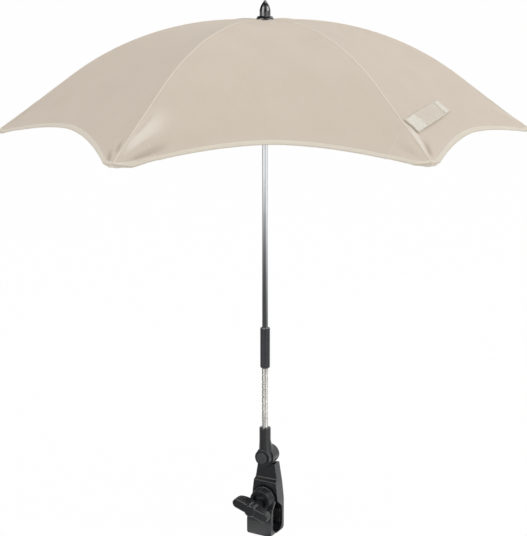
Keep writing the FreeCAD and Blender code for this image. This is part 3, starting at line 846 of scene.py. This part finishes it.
    def plan(self, index: int) -> tuple[Grid, Grid]:
        """Plan of a sector, along its rib and to its side, closer spaced at the rib and the hem.

        Rays run from the shaft to the hem. On each, the hem is found by putting its distance back
        into the scallop's curve a few times. The last ray but one lies close to each border, so that
        the border's rim bends no more than a hair's width of shading.

        Args:
            index: Number of the rib, from 0.

        Returns:
            Distance along the rib and to its side, as rows by columns.
        """
        ray = signed_power(np.linspace(-1.0, 1.0, self.columns), self.column_power)
        ray = np.concatenate([[-1.0, self.rim_share - 1.0], ray[1:-1], [1.0 - self.rim_share, 1.0]])
        to_middle = 1.0 - np.abs(ray)
        cut = np.where(ray < 0.0, self.hem_cuts[index - 1], self.hem_cuts[index])
        reach = np.full_like(ray, self.hem_middle)
        for _ in range(self.hem_tries):
            reach = 0.5 * (reach + self.hem_out(reach * math.tan(self.half) * to_middle, cut))
        x_share = math.cos(self.half) + math.tan(self.half) * math.sin(self.half) * to_middle
        y_share = math.sin(self.half) * ray
        start = self.eyelet / np.hypot(x_share, y_share)
        step = np.linspace(0.0, 1.0, self.rows)[:, None]
        out = start + (reach - start) * step**self.row_power
        return out * x_share, out * y_share

    def sector(self, index: int, cloth: Material) -> tuple[Piece, Grid]:
        """One sector of cloth about a rib.

        Args:
            index: Number of the rib, from 0.
            cloth: Material of the canopy.

        Returns:
            The piece and its grid of places.
        """
        along, side = self.plan(index)
        out, across = self.ways(index)
        points = along[..., None] * out + side[..., None] * across
        points[..., 2] = self.lift(along, side, index)
        away = np.abs(side)
        down_panel, across_panel = turned(along, away, self.half)
        pairs = {Path.WEAVE: (across_panel, down_panel), Path.STITCH: self.pocket_line(along, away),
                 # the crease map carries the painted shading of the folds into the cloth's colour
                 Path.SEAM: (along, side), Path.PAINTED_FOLD_SHADING: (self.puckers(along, side, index)[1], along)}
        maps = {path: np.stack(pair, axis=-1) for path, pair in pairs.items()}
        piece = grid_object(f"canopy_sector_{index + 1}", points, maps, wall=self.wall)
        dress(piece, cloth)
        return piece, points

    def tape(self, index: int, points: Grid, material: Material) -> Piece:
        """Binding over a sector's hem: a flattened round carried along the hem.

        Around the tape, its place goes in from the hem by a half cosine of the width and off the
        cloth by a sine of the thickness, squared off by a power. Its way in lies on the cloth, read
        between the cloth's own rows. It droops towards its outer edge, and more so round the rib's
        tip, by a bell of the distance along the hem.

        Args:
            index: Number of the rib, from 0.
            points: The sector's grid of places.
            material: Material of the tape.

        Returns:
            The piece.
        """
        strip = points[:-self.tape_rows - 1:-1]
        edge = strip[0]
        step = np.linalg.norm(strip[1] - edge, axis=-1)
        inward = (strip[1] - edge) / step[:, None]
        up = np.cross(inward, np.gradient(edge, axis=0))
        up *= np.sign(up[:, 2:]) / np.linalg.norm(up, axis=-1, keepdims=True)
        turn = np.linspace(0.0, math.tau, self.tape_around, endpoint=False)
        deep = 0.5 * self.tape_width * (1.0 - signed_power(np.cos(turn), self.tape_square[0]))
        thick = self.tape_thick * signed_power(np.sin(turn), self.tape_square[1])
        outer = np.clip(1.0 - deep / self.tape_width, 0.0, 1.0)
        length = np.concatenate([[0.0], np.cumsum(np.linalg.norm(np.diff(edge, axis=0), axis=1))])
        near_tip = np.exp(-(((length - 0.5 * length[-1]) / self.tape_tip_reach) ** 2))
        droop = self.tape_droop + self.tape_tip_droop * near_tip
        off = thick - 0.5 * self.wall - droop[:, None] * outer**self.tape_bend
        deep = deep[None, :] - (self.tape_out + self.tape_tip_out * near_tip)[:, None]
        row = np.clip(deep / step[:, None], 0.0, self.tape_rows - 1)
        before = np.minimum(row.astype(int), self.tape_rows - 2)
        share = (row - before)[..., None]
        column = np.arange(len(edge))[:, None]
        shape = strip[before, column] * (1.0 - share) + strip[before + 1, column] * share
        shape += np.minimum(deep, 0.0)[..., None] * inward[:, None, :] + off[..., None] * up[:, None, :]
        run = np.broadcast_to(length[:, None], shape.shape[:2])
        maps = {Path.STITCH: np.stack([run, deep - self.stitch_share * self.tape_width], axis=-1)}
        piece = grid_object(f"hem_tape_{index + 1}", shape, maps, wrap=True)
        dress(piece, material)
        return piece

    def fasten(self, piece: Piece, index: int) -> None:
        """Let a piece ride on a rib, with a mesh of its own.

        Args:
            piece: The piece.
            index: Number of the rib, from 0.
        """
        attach(piece, f"rib_{index + 1}")
        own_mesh(piece)
        LOG.info("%s: gathers to rib %d", piece.name, index + 1)

    def build(self, finishes: Finishes) -> None:
        """Make, dress and fasten the sectors and their hems.

        Args:
            finishes: The parasol's finishes.
        """
        cloth, tape = finishes.cloth.make(), finishes.tape.make()
        for index in range(self.ribs):
            piece, points = self.sector(index, cloth)
            hem = self.tape(index, points, tape)
            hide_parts(f"canopy_panel_{index + 1}", f"canopy_panel_{(index - 1) % self.ribs + 1}")
            self.fasten(piece, index)
            self.fasten(hem, index)


@dataclass
class ClosingStrap:
    """Short strap on one panel that holds the folded canopy, with a fastening patch at each end.

    A crumple wave is its size and its turns, in radians per length of the strap, along and across.
    """

    canopy: Canopy
    rib: int = 1
    length: float = 138 * MM
    width: float = 22.8 * MM
    thick: float = 1.1 * MM
    out: float = 258 * MM
    aside: float = 74 * MM
    turn: float = math.radians(7.3)
    clear: float = 0.6 * MM
    near_lift: float = 1.0 * MM
    near_share: float = 0.28
    far_lift: float = 0.4 * MM
    far_share: float = 0.36
    wave: float = 0.8 * MM
    wave_shares: Pair = (0.5, 0.1)
    waves: tuple[Triple, ...] = ((1.0, 26.0, 34.0), (0.6, 47.0, -50.0))
    stitch_inset: float = 1.8 * MM
    rows: int = 40
    columns: int = 160
    patch_first: float = 36 * MM
    patch_last: float = 17 * MM
    patch_thick: float = 0.8 * MM
    patch_inset: float = 1.2 * MM

    def place(self, run: Grid, width: Grid, rise: float) -> Grid:
        """Places on the strap's upper face, lying along the panel and lifting at its ends.

        Run goes along the strap from its middle and width across it, down the panel. Both are
        turned by the strap's turn and laid on the panel's slope, and the height is the cloth's
        plus a clearance, slow waves and a quadratic lift at each end.

        Args:
            run: Distance along the strap from its middle.
            width: Distance across it from its middle.
            rise: Further height above the strap.

        Returns:
            Places, as rows by columns by 3.
        """
        half = self.canopy.half
        tilt = math.atan(math.tan(self.canopy.slope) / math.cos(half))
        down, past = turned(width, run, -self.turn)
        along, side = turned(self.out + down * math.cos(tilt), past - self.aside, -half)
        share = run / self.length
        lift = self.clear + rise
        for end, height, start in ((-share, self.near_lift, self.near_share),
                                   (share, self.far_lift, self.far_share)):
            lift = lift + height * np.clip((end - start) / (0.5 - start), 0.0, 1.0) ** 2
        crumple = sum(size * (1.0 + np.sin(onward * share + across * width / self.length))
                      for size, onward, across in self.waves)
        lift += self.wave * crumple * smooth_step(*self.wave_shares, np.abs(share))
        forward, beside = self.canopy.ways(self.rib)
        points = along[..., None] * forward + side[..., None] * beside
        points[..., 2] = self.canopy.lift(along, side, self.rib)
        panel = self.canopy.ways(self.rib + 0.5)[0]
        normal = panel * math.sin(tilt) + np.array([0.0, 0.0, math.cos(tilt)])
        return points + lift[..., None] * normal

    def sheet(self, name: str, start: float, end: float, half: float, rise: float, wall: float) -> Piece:
        """Piece of the strap between two runs.

        Args:
            name: Name of the piece.
            start: Run at its near end.
            end: Run at its far end.
            half: Half its width.
            rise: Height above the strap's own face.
            wall: Thickness of the piece.

        Returns:
            The piece, a sheet with stitch and weave maps.
        """
        run, width = np.meshgrid(np.linspace(start, end, self.columns), np.linspace(half, -half, self.rows))
        edge = half - np.abs(width) - self.stitch_inset
        ends = np.minimum(run - start, end - run) - self.stitch_inset
        stitch = np.stack([np.where(ends < edge, width, run), np.minimum(ends, edge)], axis=-1)
        maps = {Path.WEAVE: np.stack([run, width], axis=-1), Path.STITCH: stitch}
        return grid_object(name, self.place(run, width, rise), maps, wall=wall)

    def build(self, finishes: Finishes) -> None:
        """Make, dress and fasten the strap and its patches.

        Args:
            finishes: The parasol's finishes.
        """
        half = 0.5 * self.length
        strap = self.sheet("strap_band", -half, half, 0.5 * self.width, 0.0, self.thick)
        dress(strap, finishes.band.make())
        pile = finishes.pile.make()
        inset = self.patch_inset
        wide = 0.5 * self.width - inset
        rise = self.patch_thick
        near = self.sheet("strap_patch_near", inset - half, self.patch_first - half, wide, rise, rise)
        far = self.sheet("strap_patch_far", half - self.patch_last, half - inset, wide, rise, rise)
        for patch in (near, far):
            dress(patch, pile)
        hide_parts("closing_strap")
        for piece in (strap, near, far):
            self.canopy.fasten(piece, self.rib)


@dataclass
class WingLobes:
    """Leaf-shaped lobes fitted over the wing nut's two wings, deeper towards the hub."""

    nut: str = "wing_nut"
    screw_height: float = 24 * MM
    turn: float = math.radians(18.0)
    reach: float = 28.5 * MM
    tip_run: float = 7 * MM
    half: float = 7.1 * MM
    front: float = 45.7 * MM
    back_root: float = 26 * MM
    back_tip: float = 35 * MM
    swell: float = 3.5 * MM
    corner: float = 8.0
    rows: int = 96
    columns: int = 96

    def surface(self) -> Grid:
        """Places on the lobes: a squarish loop carried from one tip to the other.

        Each loop is a superellipse in depth and height. Its front is flat and its back comes
        forward in proportion to the run from the hub. Its height closes along a quarter ellipse
        at each tip, and its trailing edge swells by half a sine wave of the run.

        Returns:
            Places, as rows by columns by 3.
        """
        sweep = np.linspace(-0.5 * math.pi, 0.5 * math.pi, self.rows)
        around = np.linspace(0.0, math.tau, self.columns, endpoint=False)
        run, angle = np.meshgrid(self.reach * np.sin(sweep), around, indexing="ij")
        deep, tall = (signed_power(wave(angle), 2.0 / self.corner) for wave in (np.cos, np.sin))
        share = np.abs(run) / self.reach
        past = np.clip((np.abs(run) - self.reach + self.tip_run) / self.tip_run, 0.0, 1.0)
        back = self.back_root + (self.back_tip - self.back_root) * share
        depth = 0.5 * (self.front + back) + 0.5 * (self.front - back) * deep
        trailing = np.clip(tall * np.sign(run), 0.0, 1.0) * np.sign(run)
        rise = self.half * np.sqrt(1.0 - past**2) * tall
        rise += self.swell * 0.5 * (1.0 - deep) * trailing * np.sin(math.pi * share)
        up, aside = turned(rise, run, self.turn)
        return np.stack([-aside, -depth, self.screw_height + up], axis=-1)

    def build(self, material: Material) -> None:
        """Make the lobes, which turn with the nut.

        Args:
            material: The nut's own material.
        """
        lobes = grid_object("wing_lobes", self.surface(), wrap=True)
        dress(lobes, material)
        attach(lobes, self.nut)
        LOG.info("wing lobes: %d rows", self.rows)


@dataclass
class Hardware:
    """The CAD nodes that keep their shapes, each with its finish."""

    nodes: dict[str, Piece]
    neck_pieces: int = 7
    ribs: int = 6

    def coat(self, material: Material, *names: str) -> None:
        """Give CAD nodes one material.

        Args:
            material: The material.
            *names: Names of the nodes.
        """
        for name in names:
            dress(self.nodes[name], material)
            LOG.info("%s: %s", name, material.name)

    @staticmethod
    def numbered(stem: str, count: int) -> list[str]:
        """Names of a numbered run of nodes."""
        return [f"{stem}_{number}" for number in range(1, count + 1)]

    def build(self, finishes: Finishes) -> None:
        """Dress the clamp, head, neck, shaft and folding frame.

        Args:
            finishes: The parasol's finishes.
        """
        moulding = finishes.moulding.make()
        self.coat(moulding, "clamp_body", "front_jaw", "wing_nut", "swivel_socket")
        WingLobes().build(moulding)
        stems = ("rib", "rib_clip", "stretcher")
        rods = [name for stem in stems for name in self.numbered(stem, self.ribs)]
        coats = (
            (finishes.sleeve, ["joint_sleeve"]),
            (finishes.polish, ["finial"]),
            (finishes.lining, ["rear_jaw_pad", "front_jaw_pad"]),
            (finishes.zinc, ["hinge_nut"]),
            (finishes.bolt, ["hinge_bolt", "jaw_washer"]),
            (finishes.screw, ["clamp_screw"]),
            (finishes.tube, ["shaft"]),
            (finishes.spiral, ["neck_ferrule", *self.numbered("neck_piece", self.neck_pieces)]),
            (finishes.rod, rods),
            (finishes.fitting, ["crown", "runner", *self.numbered("rib_tip", self.ribs)]),
        )
        for finish, names in coats:
            self.coat(finish.make(), *names)


@dataclass(frozen=True)
class Lamp:
    """Square soft lamp, with its side in metres and its power in watts."""

    name: str
    place: Triple
    size: float
    power: float

    def hang(self, aim: float) -> None:
        """Hang the lamp and turn it to a point on the shaft's line.

        Args:
            aim: Height of that point.
        """
        data = bpy.data.lights.new(self.name, "AREA")
        data.size = self.size
        data.energy = self.power
        lamp = bpy.data.objects.new(self.name, data)
        bpy.context.scene.collection.objects.link(lamp)
        lamp.location = self.place
        lamp.rotation_euler = (Vector((0.0, 0.0, aim)) - lamp.location).to_track_quat("-Z", "Y").to_euler()


@dataclass
class Studio:
    """Pale floor, white surround, soft lamps and the photograph's camera.

    Bright metal alone sees dark screens, a dark ceiling, and a mat and a patch on the floor. The
    screens' and the camera's angles are in degrees.
    """

    pale: Colour = linear(232, 232, 232)
    floor_roughness: float = 0.9
    floor_drop: float = 0.5 * MM
    floor_hole: float = 0.02
    floor_radius: float = 30.0
    floor_rings: int = 12
    floor_sides: int = 64
    cover: float = 0.985
    surround: float = 0.55
    lamps: tuple[Lamp, ...] = (Lamp("top_lamp", (0.25, 0.4, 3.0), 1.6, 16.0),
                               Lamp("side_lamp", (2.3, 0.4, 1.55), 1.2, 17.5),
                               Lamp("fill_lamp", (-0.82, -2.27, 1.42), 1.8, 17.6))
    lamp_aim: float = 0.45
    gap_half: float = 19.0
    gap_turn: float = 2.0
    left_wing: Pair = (-172.0, -74.0)
    right_wing: Pair = (72.0, 106.0)
    screen_soft: float = 6.0
    gap_light: float = 0.06
    ceiling: Pair = (0.6, 0.85)
    sheet_edge: Pair = (0.68, 0.92)
    mat_place: Pair = (0.45, -0.3)
    mat_edge: Pair = (0.6, 2.85)
    mat_power: float = 1.5
    mat_light: float = 0.07
    mat_gap_light: float = 0.42
    patch_place: Pair = (0.17, -0.24)
    patch_edge: Pair = (0.147, 0.273)
    patch_light: float = 0.15
    camera_place: Triple = (0.8157, -1.5086, 0.768)
    camera_heading: float = 28.4
    camera_pitch: float = 13.3
    camera_far: float = 100.0
    focal_pixels: float = 1292.0
    offset_pixels: float = 1.6
    sensor: float = 36.0

    def backdrop_share(self, s: Sketch) -> Socket:
        """Share of the white backdrop: 1 for camera, glossy and transmission rays.

        Args:
            s: Tree to draw in.

        Returns:
            The share's socket.
        """
        light = s.node("LightPath")
        share = light.outputs[Rays.CAMERA.value]
        for ray in (Rays.GLOSSY, Rays.TRANSMISSION):
            share = s.calc("MAXIMUM", share, light.outputs[ray.value])
        return share

    def bearings(self, s: Sketch, place: Socket) -> list[Socket]:
        """Parts of a place or a way, seen from the parasol: towards the camera's side, and to its right."""
        return [s.measure("DOT_PRODUCT", place, way.tolist()) for way in heading(self.camera_heading)]

    def screens(self, s: Sketch, towards: Socket, aside: Socket) -> Socket:
        """Share of dark screen at a bearing, as in a studio for bright metal.

        One screen stands about the camera, and one on each side behind the two softboxes. They are
        bands of the turn about Z from the camera's side.

        Args:
            s: Tree to draw in.
            towards: Part towards the camera's side.
            aside: Part to its right.

        Returns:
            The share's socket.
        """
        turn = s.calc("ARCTAN2", aside, towards)
        off_camera = s.calc("ABSOLUTE", s.calc("SUBTRACT", turn, math.radians(self.gap_turn)))
        soft, half = math.radians(self.screen_soft), math.radians(self.gap_half)
        dark = s.ramp(off_camera, half - soft, half + soft, 1.0, 0.0)
        for wing in (self.left_wing, self.right_wing):
            first, last = (math.radians(x) for x in wing)
            band = s.calc("MULTIPLY", s.ramp(turn, first - soft, first + soft),
                          s.ramp(turn, last - soft, last + soft, 1.0, 0.0))
            dark = s.calc("MAXIMUM", dark, band)
        return dark

    def floor_light(self, s: Sketch) -> Socket:
        """Light of the floor for bright metal: a white sheet close by, a dark mat that fades, and a patch.

        Args:
            s: Tree to draw in.

        Returns:
            The light's socket.
        """
        towards, aside = self.bearings(s, s.place())
        near = s.node("CombineXYZ", {"X": towards, "Y": aside}).outputs["Vector"]
        off_mat = s.measure("DISTANCE", near, (*self.mat_place, 0.0))
        off_patch = s.measure("DISTANCE", near, (*self.patch_place, 0.0))
        mat = s.calc("POWER", s.ramp(off_mat, *self.mat_edge), self.mat_power)
        mat = s.calc("MULTIPLY_ADD", mat, 1.0 - self.mat_light, self.mat_light)
        sheet = s.ramp(s.measure("LENGTH", near), *self.sheet_edge, 1.0, 0.0)
        patch = s.ramp(off_patch, *self.patch_edge, self.patch_light, 1.0)
        banded = s.calc("MULTIPLY_ADD", self.screens(s, towards, aside), self.mat_gap_light - 1.0, 1.0)
        return s.calc("MULTIPLY", s.calc("MULTIPLY", s.calc("MAXIMUM", mat, sheet), patch), banded)

    def floor(self, low: float) -> None:
        """Round pale floor under the clamp: rings of points about the origin.

        Args:
            low: Height of the object's lowest point.
        """
        turn = np.linspace(0.0, math.tau, self.floor_sides, endpoint=False)
        ring = np.linspace(self.floor_hole, self.floor_radius, self.floor_rings)[:, None]
        level = np.full((self.floor_rings, self.floor_sides), low - self.floor_drop)
        points = np.stack([ring * np.sin(turn), ring * np.cos(turn), level], axis=-1)
        piece = grid_object("floor", points, wrap=True)
        s = Surface("pale_floor")
        s.set(Base_Color=(*self.pale, 1.0), Roughness=self.floor_roughness, Specular_IOR_Level=0.0)
        gloss = s.node("LightPath").outputs[Rays.GLOSSY.value]
        strength = s.ramp(gloss, 0.0, 1.0, 1.0, self.floor_light(s))
        glow = s.node("Emission", {"Color": WHITE, "Strength": strength}).outputs["Emission"]
        cover = s.calc("MULTIPLY", self.backdrop_share(s), self.cover)
        mixed = s.node("MixShader", {0: cover, 1: s.shader.outputs["BSDF"], 2: glow})
        s.feed(s.output, "Surface", mixed.outputs["Shader"])
        dress(piece, s.material)
        piece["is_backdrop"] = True

    def world(self) -> None:
        """White surround for the camera, a dimmer one for light, and dark screens and ceiling for gloss."""
        world = bpy.data.worlds.new("white_surround")
        bpy.context.scene.world = world
        s = Sketch(world)
        way = s.node("TexCoord").outputs["Generated"]
        overhead = s.ramp(s.split(way).outputs["Z"], *self.ceiling)
        dark = s.calc("MAXIMUM", self.screens(s, *self.bearings(s, way)), overhead)
        gloss = s.calc("MULTIPLY", dark, s.node("LightPath").outputs[Rays.GLOSSY.value])
        shade = s.calc("MULTIPLY_ADD", gloss, self.gap_light - 1.0, 1.0)
        level = s.ramp(self.backdrop_share(s), 0.0, 1.0, self.surround, 1.0)
        sky = s.node("Background", {"Color": WHITE, "Strength": s.calc("MULTIPLY", level, shade)})
        s.feed(s.node("OutputWorld"), "Surface", sky.outputs["Background"])

    def camera(self) -> None:
        """Camera at the photograph's angle, with the principal point a little right of the middle."""
        data = bpy.data.cameras.new("photo_camera")
        data.sensor_width = self.sensor
        data.lens = self.focal_pixels / PHOTO_HIGH * self.sensor
        data.shift_x = -self.offset_pixels / PHOTO_HIGH
        data.clip_end = self.camera_far
        camera = bpy.data.objects.new("photo_camera", data)
        bpy.context.scene.collection.objects.link(camera)
        camera.location = self.camera_place
        pitch, turn = math.radians(90.0 - self.camera_pitch), math.radians(self.camera_heading)
        camera.rotation_euler = (pitch, 0.0, turn)
        bpy.context.scene.camera = camera

    def build(self, low: float) -> None:
        """Set up the whole studio.

        Args:
            low: Height of the object's lowest point.
        """
        bpy.context.scene.view_settings.view_transform = "Standard"
        self.camera()
        self.floor(low)
        self.world()
        for lamp in self.lamps:
            lamp.hang(self.lamp_aim)


def main() -> None:
    """Load the frame, find its lowest point, dress it, and add the soft pieces and the studio."""
    logging.basicConfig(level=logging.INFO, format="%(name)s: %(message)s")
    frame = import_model()
    cad_low, cad_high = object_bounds()
    finishes = Finishes()
    studio = Studio()
    studio.build(cad_low.z)
    Hardware(frame["nodes"]).build(finishes)
    canopy = Canopy()
    canopy.build(finishes)
    ClosingStrap(canopy).build(finishes)


if __name__ == "__main__":
    main()
